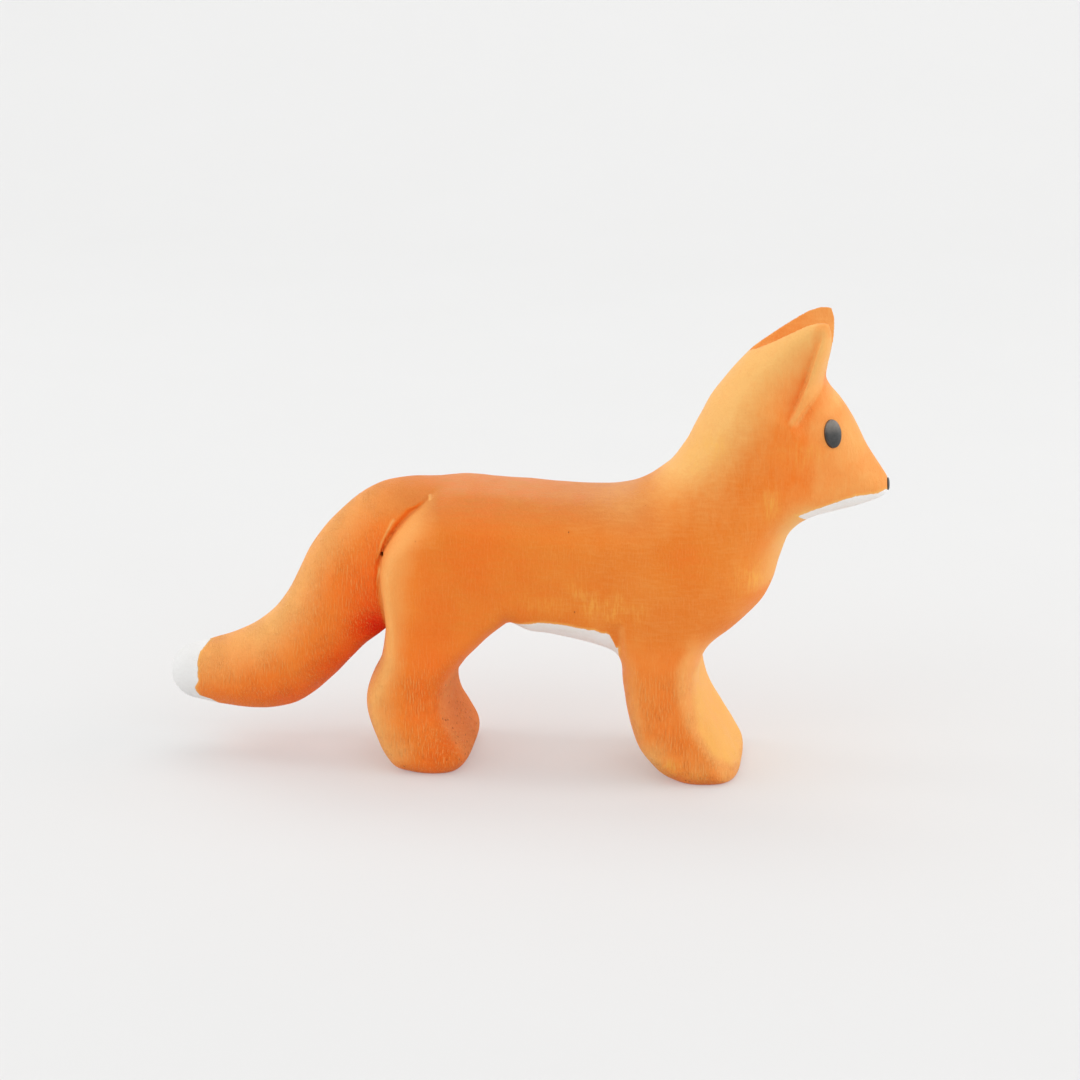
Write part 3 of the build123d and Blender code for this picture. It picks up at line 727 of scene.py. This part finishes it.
    # the cut beside the haunch: painted shade in it and painted highlights along the raised threads beside it
    tone -= 0.14 * np.exp(-(sc / 0.45) ** 2) * smooth(0.0, 0.6, dc) * out * (x < -12)
    for line, heights, width in THREADS:
        d, value = along(x, z, np.array(line), np.array(heights))
        tone += 0.60 * np.exp(-(d / (1.4 * width)) ** 2) * smooth(0.0, 0.08, value) * out * (x < -12)
    # yellow on the front of the forepaw: yellow stain with painted light
    instep = smooth(-0.6, 0.7, x - np.interp(z, *INSTEP)) * smooth(25, 20, z) * (x > 20)
    paint = {
        "white": signed_white(p),
        "ochre": patches(p, OCHRE),
        "instep": instep,
        "swash": smooth(20, 30, x) * smooth(36, 46, z),
        "tone": np.clip(tone, -1, 1),
        # painted shade: darker on the top of the back where it faces up
        "back_top_shade": smooth(41.0, 46.5, z) * smooth(-29, -18, x) * smooth(26, 18, x) * smooth(0.1, 0.6, nz),
        # painted sheen: paler along the very top of the back
        "back_top_sheen": smooth(45.0, 47.2, z) * smooth(-20, -8, x) * smooth(26, 16, x) * smooth(0.86, 0.995, nz),
        # painted shade: deep red in the corner between tail and haunch, and a thin dark red line along the sole edges
        # at the floor
        "crimson_shade": np.exp(-((x + 24.0) / 2.2) ** 2 - ((z - 23.6) / 3.4) ** 2) * on_tail * smooth(-0.75, -0.35, nx) + 0.45 * smooth(0.55, 0.10, z) * smooth(-0.97, -0.75, nz),
        "chalk": smooth(-51.0, -57.0, x),
        "flank": np.where(inside, 1.0, smooth(-21, -11, x) * smooth(46, 35, x) * smooth(20, 27, z)),
        "pink": smooth(-0.4, 0.5, x - np.interp(z, *FACET)) * smooth(19.5, 17.5, z) * (x < 0),
        "wear": smooth(5.0, 1.5, z) * smooth(0.02, 0.3, z),
        # painted shade: near black inside the pinhole
        "pinhole_shade": np.exp(-(np.hypot(x - PIN[0], z - PIN[1]) / 0.30) ** 4) * (np.abs(y) > 4),
        "grain": np.clip(0.25 + 0.75 * np.maximum(smooth(-18, -26, x), smooth(24, 15, z)) + 0.4 * smooth(5.5, 3.0, z), 0, 1.3) * (1 - 0.6 * instep),
    }
    for key, values in paint.items():
        a = me.attributes.new(key, "FLOAT", "POINT")
        a.data.foreach_set("value", values.astype(np.float32))
    me.update()


def dome(name, origin, u, w, n, a, b, height, rim, peg, peg_len, power=2.2):
    """Rounded button with a peg: oval base on its seat, a straight rim and a dome."""
    bm = bmesh.new()
    seg = 64
    rows = []

    def ring(sa, sb, h):
        rows.append([bm.verts.new((origin + u * (sa * math.cos(2 * math.pi * k / seg)) + w * (sb * math.sin(2 * math.pi * k / seg)) + n * h) * MM)
                     for k in range(seg)])

    ring(peg - 0.15, peg - 0.15, -peg_len)
    ring(peg, peg, -peg_len + 0.15)
    ring(peg, peg, 0.0)
    ring(a - 0.08, b - 0.08, 0.0)
    ring(a, b, 0.08)
    ring(a, b, rim)
    for k in range(1, 18):
        t = math.pi / 2 * k / 18
        c, s = math.cos(t) ** (2 / power), math.sin(t) ** (2 / power)
        ring(a * c, b * c, rim + (height - rim) * s)
    bm.faces.new(rows[0][::-1])
    for r0, r1 in zip(rows[:-1], rows[1:]):
        for k in range(seg):
            bm.faces.new((r0[k], r0[(k + 1) % seg], r1[(k + 1) % seg], r1[k]))
    top = bm.verts.new((origin + n * height) * MM)
    for k in range(seg):
        bm.faces.new((rows[-1][k], rows[-1][(k + 1) % seg], top))
    bmesh.ops.recalc_face_normals(bm, faces=bm.faces[:])
    for f in bm.faces:
        f.smooth = True
    for i in (0, 2, 3):
        for k in range(seg):
            e = bm.edges.get((rows[i][k], rows[i][(k + 1) % seg]))
            if e:
                e.smooth = False
    me = bpy.data.meshes.new(name)
    bm.to_mesh(me)
    bm.free()
    return add_object(name, me)


# ------------------------------------------------------------------ materials
def lin(r, g, b):
    """Colour given as 0-255 screen values."""
    return tuple((c / 12.92 if c <= 0.04045 else ((c + 0.055) / 1.055) ** 2.4) for c in (r / 255, g / 255, b / 255)) + (1.0,)


class Graph:
    def __init__(self, name):
        self.mat = bpy.data.materials.new(name)
        self.mat.use_nodes = True
        self.tree = self.mat.node_tree
        self.tree.nodes.clear()
        self.out = self.tree.nodes.new("ShaderNodeOutputMaterial")
        self.bsdf = self.tree.nodes.new("ShaderNodeBsdfPrincipled")
        self.tree.links.new(self.bsdf.outputs[0], self.out.inputs[0])
        coord = self.tree.nodes.new("ShaderNodeTexCoord")
        self.mm = self.scale(coord.outputs["Object"], (1000, 1000, 1000))

    def put(self, socket, value):
        if isinstance(value, bpy.types.NodeSocket):
            self.tree.links.new(value, socket)
        else:
            socket.default_value = value

    def scale(self, vec, s, shift=(0, 0, 0)):
        m = self.tree.nodes.new("ShaderNodeMapping")
        m.inputs["Scale"].default_value = s
        m.inputs["Location"].default_value = shift
        self.tree.links.new(vec, m.inputs["Vector"])
        return m.outputs[0]

    def noise(self, scale, detail=3.0, rough=0.5, stretch=(1, 1, 1), warp=0.0, shift=(0, 0, 0)):
        n = self.tree.nodes.new("ShaderNodeTexNoise")
        n.inputs["Scale"].default_value = scale
        n.inputs["Detail"].default_value = detail
        n.inputs["Roughness"].default_value = rough
        n.inputs["Distortion"].default_value = warp
        self.tree.links.new(self.scale(self.mm, stretch, shift), n.inputs["Vector"])
        return n.outputs["Fac"]

    def voronoi(self, scale, stretch=(1, 1, 1)):
        n = self.tree.nodes.new("ShaderNodeTexVoronoi")
        n.inputs["Scale"].default_value = scale
        self.tree.links.new(self.scale(self.mm, stretch), n.inputs["Vector"])
        return n.outputs["Distance"], n.outputs["Color"]

    def attr(self, name):
        n = self.tree.nodes.new("ShaderNodeAttribute")
        n.attribute_name = name
        return n.outputs["Fac"]

    def math(self, op, a, b=0.0, clamp=False):
        n = self.tree.nodes.new("ShaderNodeMath")
        n.operation, n.use_clamp = op, clamp
        self.put(n.inputs[0], a)
        self.put(n.inputs[1], b)
        return n.outputs[0]

    def step(self, value, a, b, low=0.0, high=1.0):
        n = self.tree.nodes.new("ShaderNodeMapRange")
        n.interpolation_type = "SMOOTHSTEP"
        self.put(n.inputs["Value"], value)
        for key, v in (("From Min", a), ("From Max", b), ("To Min", low), ("To Max", high)):
            n.inputs[key].default_value = v
        return n.outputs[0]

    def ramp(self, value, a, b):
        n = self.tree.nodes.new("ShaderNodeMapRange")
        self.put(n.inputs["Value"], value)
        n.inputs["From Min"].default_value = a
        n.inputs["From Max"].default_value = b
        return n.outputs[0]

    def mix(self, fac, a, b, mode="MIX"):
        n = self.tree.nodes.new("ShaderNodeMix")
        n.data_type, n.blend_type = "RGBA", mode
        self.put(n.inputs[0], fac)
        self.put(n.inputs[6], a)
        self.put(n.inputs[7], b)
        return n.outputs[2]

    def bump(self, height, strength, distance, normal=None):
        n = self.tree.nodes.new("ShaderNodeBump")
        n.inputs["Strength"].default_value = strength
        n.inputs["Distance"].default_value = distance
        self.tree.links.new(height, n.inputs["Height"])
        if normal is not None:
            self.tree.links.new(normal, n.inputs["Normal"])
        return n.outputs[0]


def painted_wood():
    g = Graph("painted_wood")
    big = g.noise(0.085, 3.0, 0.55)
    mid = g.noise(0.33, 4.0, 0.55, warp=0.4)
    fine = g.noise(2.4, 3.0, 0.6)
    strokes = g.noise(1.0, 3.0, 0.6, (0.34, 0.6, 2.6), 0.5)
    upright = g.noise(1.0, 3.0, 0.6, (2.4, 2.4, 0.36), 0.2)
    # stain: orange, running to yellow for yellow stain and painted light, and to red for red stain and painted shade
    flank = g.attr("flank")
    col = g.mix(g.step(big, 0.35, 0.65), lin(246, 125, 36), lin(247, 132, 43))
    col = g.mix(flank, col, g.mix(g.step(big, 0.35, 0.65), lin(235, 125, 37), lin(237, 132, 43)))
    # painted shade on the top of the back
    col = g.mix(g.math("MULTIPLY", g.attr("back_top_shade"), 0.85), col, lin(214, 128, 58))
    # painted sheen along the top of the back
    col = g.mix(g.math("MULTIPLY", g.attr("back_top_sheen"), 0.31), col, lin(234, 172, 124))
    tone = g.math("ADD", g.attr("tone"), g.math("MULTIPLY", g.math("SUBTRACT", mid, 0.5), 0.22))
    swash = g.math("SUBTRACT", g.noise(0.62, 3.0, 0.6, (1.0, 1.0, 0.42), 0.8), 0.5)
    tone = g.math("ADD", tone, g.math("MULTIPLY", g.math("MULTIPLY", swash, g.attr("swash")), 0.42))
    brushed = g.math("MULTIPLY", g.math("SUBTRACT", g.step(strokes, 0.42, 0.66), 0.3), 0.09)
    tone = g.math("ADD", tone, g.math("MULTIPLY", brushed, flank))
    col = g.mix(g.ramp(tone, 0.0, 1.0), col, lin(248, 189, 110))
    deep = g.ramp(tone, 0.0, -0.9)
    col = g.mix(deep, col, lin(252, 86, 12))
    ochre = g.math("MULTIPLY", g.attr("ochre"), g.step(mid, 0.30, 0.56, 0.35, 1.0))
    ochre = g.math("MULTIPLY", ochre, g.step(upright, 0.44, 0.60, 0.30, 1.0), True)
    col = g.mix(g.math("MULTIPLY", ochre, 0.95), col, lin(250, 188, 84))
    # yellow stain with painted light on the front of the forepaw
    instep = g.math("MULTIPLY", g.attr("instep"), g.step(mid, 0.25, 0.60, 0.80, 1.0))
    col = g.mix(g.math("MULTIPLY", instep, 0.85), col, lin(247, 184, 91))
    col = g.mix(g.attr("pink"), col, lin(255, 149, 80))
    # painted shade in the tail-haunch corner and along the sole edges
    col = g.mix(g.math("MULTIPLY", g.attr("crimson_shade"), 0.9), col, lin(238, 24, 18))
    # wood grain: short upright ticks with a painted highlight on one side and painted shade on the other, like relief
    # lit from one side, and fine pale and dark hair streaks
    cluster = g.step(g.noise(0.24, 2.0, 0.5), 0.36, 0.62, 0.55, 1.0)
    grain = g.math("MULTIPLY", g.attr("grain"), cluster)
    dash = g.noise(1.0, 2.0, 0.6, (3.7, 3.7, 0.50))
    tick = g.math("SUBTRACT", dash, g.noise(1.0, 2.0, 0.6, (3.7, 3.7, 0.50), shift=(0.55, 0, 0)))
    hair = g.noise(1.0, 2.0, 0.6, (7.0, 7.0, 0.9))
    pale_grain_and_highlight = g.math("MULTIPLY", g.math("MAXIMUM", g.step(tick, 0.05, 0.17), g.step(hair, 0.60, 0.68, 0.0, 0.7)), grain)
    dark_grain_and_shade = g.math("MULTIPLY", g.math("MAXIMUM", g.step(tick, -0.05, -0.17), g.step(hair, 0.40, 0.32, 0.0, 0.7)), grain)
    col = g.mix(g.math("MULTIPLY", pale_grain_and_highlight, 0.34), col, lin(253, 194, 118))
    col = g.mix(g.math("MULTIPLY", dark_grain_and_shade, 0.55), col, (0.93, 0.83, 0.66, 1.0), "MULTIPLY")
    col = g.mix(g.step(fine, 0.35, 0.75, 0.0, 0.10), col, lin(250, 170, 84))
    # pores
    dist, rnd = g.voronoi(0.8, (1.0, 1.0, 0.55))
    pick = g.step(rnd, 0.91, 0.93)
    pore = g.math("MULTIPLY", g.step(dist, 0.10, 0.05), pick)
    dist2, rnd2 = g.voronoi(1.25)
    pore2 = g.math("MULTIPLY", g.math("MULTIPLY", g.step(dist2, 0.27, 0.13), g.step(rnd2, 0.55, 0.59)), g.attr("pink"))
    pore = g.math("MAXIMUM", pore, pore2)
    dist3, rnd3 = g.voronoi(1.0, (1.0, 1.0, 0.8))
    worn = g.math("MULTIPLY", g.math("MULTIPLY", g.step(dist3, 0.19, 0.10), g.step(rnd3, 0.66, 0.70)), g.attr("wear"))
    pore = g.math("MAXIMUM", pore, worn)
    col = g.mix(g.math("MULTIPLY", pore, 0.52), col, lin(158, 60, 26))
    # white paint with a slightly uneven edge and a thin ochre line along it
    edge = g.math("ADD", g.attr("white"), g.math("MULTIPLY", g.math("SUBTRACT", g.noise(0.9, 3.0, 0.6), 0.5), 0.55))
    white = g.step(edge, -0.06, 0.10)
    rim = g.math("MULTIPLY", g.step(edge, -0.55, -0.05), g.step(edge, 0.25, 0.0))
    col = g.mix(g.math("MULTIPLY", rim, 0.55), col, lin(248, 190, 100))
    paint = g.mix(g.step(mid, 0.3, 0.7), lin(243, 241, 239), lin(239, 235, 230))
    paint = g.mix(g.math("MULTIPLY", g.attr("chalk"), 0.8), paint, lin(226, 226, 225))
    col = g.mix(white, col, paint)
    # painted shade inside the pinhole
    col = g.mix(g.attr("pinhole_shade"), col, lin(40, 28, 24))
    g.put(g.bsdf.inputs["Base Color"], col)
    rough = g.math("ADD", g.step(mid, 0.25, 0.75, 0.44, 0.58), g.math("MULTIPLY", g.math("SUBTRACT", fine, 0.5), 0.12))
    rough = g.math("ADD", rough, g.math("MULTIPLY", g.attr("pink"), 0.28), True)
    g.put(g.bsdf.inputs["Roughness"], rough)
    g.put(g.bsdf.inputs["Specular IOR Level"], g.math("SUBTRACT", 0.16, g.math("MULTIPLY", deep, 0.12), True))
    solid = g.math("SUBTRACT", 1.0, white)
    h = g.math("MULTIPLY", g.math("ADD", dash, g.math("MULTIPLY", hair, 0.6)), g.math("MULTIPLY", grain, solid))
    h = g.math("ADD", h, g.math("MULTIPLY", fine, 0.35))
    h = g.math("SUBTRACT", h, g.math("MULTIPLY", pore, 0.8))
    h = g.math("ADD", h, g.math("MULTIPLY", g.math("MULTIPLY", g.noise(3.2, 2.0, 0.6), g.attr("pink")), 1.2))
    h = g.math("ADD", h, g.math("MULTIPLY", white, 0.25))
    n1 = g.bump(h, 1.0, 0.00030)
    n2 = g.bump(mid, 0.5, 0.0003, n1)
    g.put(g.bsdf.inputs["Normal"], n2)
    return g.mat


def dowel_wood():
    g = Graph("dowel_wood")
    ring = g.noise(0.6, 3.0, 0.55, (1.0, 0.12, 1.0))
    fleck = g.noise(3.0, 2.0, 0.6, (1.0, 0.2, 1.0))
    col = g.mix(g.step(ring, 0.3, 0.7), lin(196, 158, 112), lin(214, 178, 132))
    col = g.mix(g.step(fleck, 0.62, 0.72, 0.0, 0.5), col, lin(160, 118, 78))
    g.put(g.bsdf.inputs["Base Color"], col)
    g.put(g.bsdf.inputs["Roughness"], g.step(ring, 0.2, 0.8, 0.5, 0.66))
    g.put(g.bsdf.inputs["Normal"], g.bump(fleck, 0.4, 0.0001))
    return g.mat


def black_gloss():
    g = Graph("black_gloss")
    fine = g.noise(2.0, 3.0, 0.55)
    col = g.mix(g.step(fine, 0.3, 0.7), lin(47, 48, 48), lin(60, 60, 59))
    # painted highlight: paler grey on the upper part of the eye beads
    high = g.tree.nodes.new("ShaderNodeSeparateXYZ")
    g.tree.links.new(g.mm, high.inputs[0])
    eye_highlight = g.math("MULTIPLY", g.step(high.outputs[2], 58.6, 60.9), g.step(fine, 0.2, 0.7, 0.75, 1.0))
    col = g.mix(eye_highlight, col, lin(130, 123, 115))
    g.put(g.bsdf.inputs["Base Color"], col)
    g.put(g.bsdf.inputs["Roughness"], g.step(fine, 0.25, 0.75, 0.30, 0.40))
    g.bsdf.inputs["Specular IOR Level"].default_value = 0.5
    g.put(g.bsdf.inputs["Normal"], g.bump(fine, 0.25, 0.00005))
    return g.mat


wood, beech, black = painted_wood(), dowel_wood(), black_gloss()


def dress(ob, mat):
    ob.data.materials.clear()
    ob.data.materials.append(mat)


# ------------------------------------------------------------------ pieces
core = board("core_board_skin", -CORE_HALF, CORE_HALF)
left = board("left_flank_skin", CORE_HALF, None)
right = board("right_flank_skin", None, -CORE_HALF)
for ob, node in ((core, "core_board"), (left, "left_flank"), (right, "right_flank")):
    dress(ob, wood)
    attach(ob, "root")
    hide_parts(node)

for node in ("haunch_dowel", "shoulder_dowel"):
    dress(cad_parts[node], beech)

for s, node in ((1, "left_eye"), (-1, "right_eye")):
    o, u, w, n = eye_axes(s)
    ob = dome(node + "_bead", o, u, w, n, EYE["a"], EYE["b"], EYE["height"], 0.75, EYE["peg"], EYE["peg_len"])
    dress(ob, black)
    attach(ob, "root")
    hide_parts(node)

o, u, w, n = nose_axes()
ob = dome("nose_bead", o, u, w, n, NOSE["a"], NOSE["b"], NOSE["height"], 0.12, NOSE["peg"], NOSE["peg_len"])
dress(ob, black)
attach(ob, "root")
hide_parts("nose")


# ------------------------------------------------------------------ floor, light, camera
def sweep():
    prof = [(-1.6, 0.0), (0.45, 0.0)]
    for k in range(1, 25):
        a = math.pi / 2 * k / 24
        prof.append((0.45 + 0.35 * math.sin(a), 0.35 - 0.35 * math.cos(a)))
    prof.append((0.80, 2.0))
    bm = bmesh.new()
    rows = [[bm.verts.new((x, y, z)) for y, z in prof] for x in (-1.8, 1.8)]
    for i in range(len(prof) - 1):
        f = bm.faces.new((rows[0][i], rows[1][i], rows[1][i + 1], rows[0][i + 1]))
        f.smooth = True
    me = bpy.data.meshes.new("sweep")
    bm.to_mesh(me)
    bm.free()
    return add_object("sweep", me)


floor = sweep()
g = Graph("paper")
paper = g.noise(0.02, 3.0, 0.5)
g.put(g.bsdf.inputs["Base Color"], g.mix(paper, (0.518, 0.518, 0.514, 1), (0.531, 0.531, 0.529, 1)))
g.bsdf.inputs["Roughness"].default_value = 0.9
g.bsdf.inputs["Emission Color"].default_value = (1.0, 1.0, 1.0, 1.0)      # lit table
g.bsdf.inputs["Emission Strength"].default_value = 0.262
g.bsdf.inputs["Specular IOR Level"].default_value = 0.1
dress(floor, g.mat)


def area(name, place, aim, size_x, size_y, power, color=(1, 1, 1)):
    d = bpy.data.lights.new(name, "AREA")
    d.shape, d.size, d.size_y, d.energy, d.color = "RECTANGLE", size_x, size_y, power, color
    ob = bpy.data.objects.new(name, d)
    bpy.context.scene.collection.objects.link(ob)
    ob.location = place
    ob.rotation_mode = "QUATERNION"
    ob.rotation_quaternion = (Vector(aim) - Vector(place)).to_track_quat("-Z", "Y")
    return ob


area("front_left", (-0.60, -0.60, 0.50), (0, 0, 0.04), 0.7, 0.7, 1.8)
area("front_right", (0.60, -0.60, 0.50), (0, 0, 0.04), 0.7, 0.7, 1.4)
area("front_high", (0.0, -0.70, 0.85), (0, 0, 0.04), 0.9, 0.6, 0.9)
area("left", (-0.85, 0.05, 0.40), (0, 0, 0.04), 0.7, 0.7, 2.4)
area("right", (0.85, 0.05, 0.40), (0, 0, 0.04), 0.7, 0.7, 3.0)
area("back", (0.0, 0.55, 0.90), (0, 0, 0.04), 0.9, 0.5, 2.0)
area("wall", (0.0, 0.10, 1.20), (0, 0.8, 0.75), 1.4, 0.5, 2.3)

world = bpy.data.worlds.new("tent")
world.use_nodes = True
back = world.node_tree.nodes["Background"]
back.inputs["Color"].default_value = (1.0, 1.0, 1.0, 1.0)
back.inputs["Strength"].default_value = 0.49
scene = bpy.context.scene
scene.world = world
scene.view_settings.view_transform = "Standard"
scene.view_settings.look = "None"

cam = bpy.data.cameras.new("camera")
cam.sensor_width = 36.0
cam.lens = 113.333
cam.clip_start, cam.clip_end = 0.01, 20.0
ca, ce = math.radians(6.5), math.radians(15.5)
out = Vector((math.sin(ca) * math.cos(ce), -math.cos(ca) * math.cos(ce), math.sin(ce)))
across = Vector((math.cos(ca), math.sin(ca), 0.0))
above = out.cross(across)
eye_at = Vector((2.75, 0.0, 37.815)) * MM + out * (566.667 * MM)
m = Matrix((across, above, out)).transposed().to_4x4()
m.translation = eye_at
cam_ob = bpy.data.objects.new("camera", cam)
bpy.context.scene.collection.objects.link(cam_ob)
cam_ob.matrix_world = m
scene.camera = cam_ob
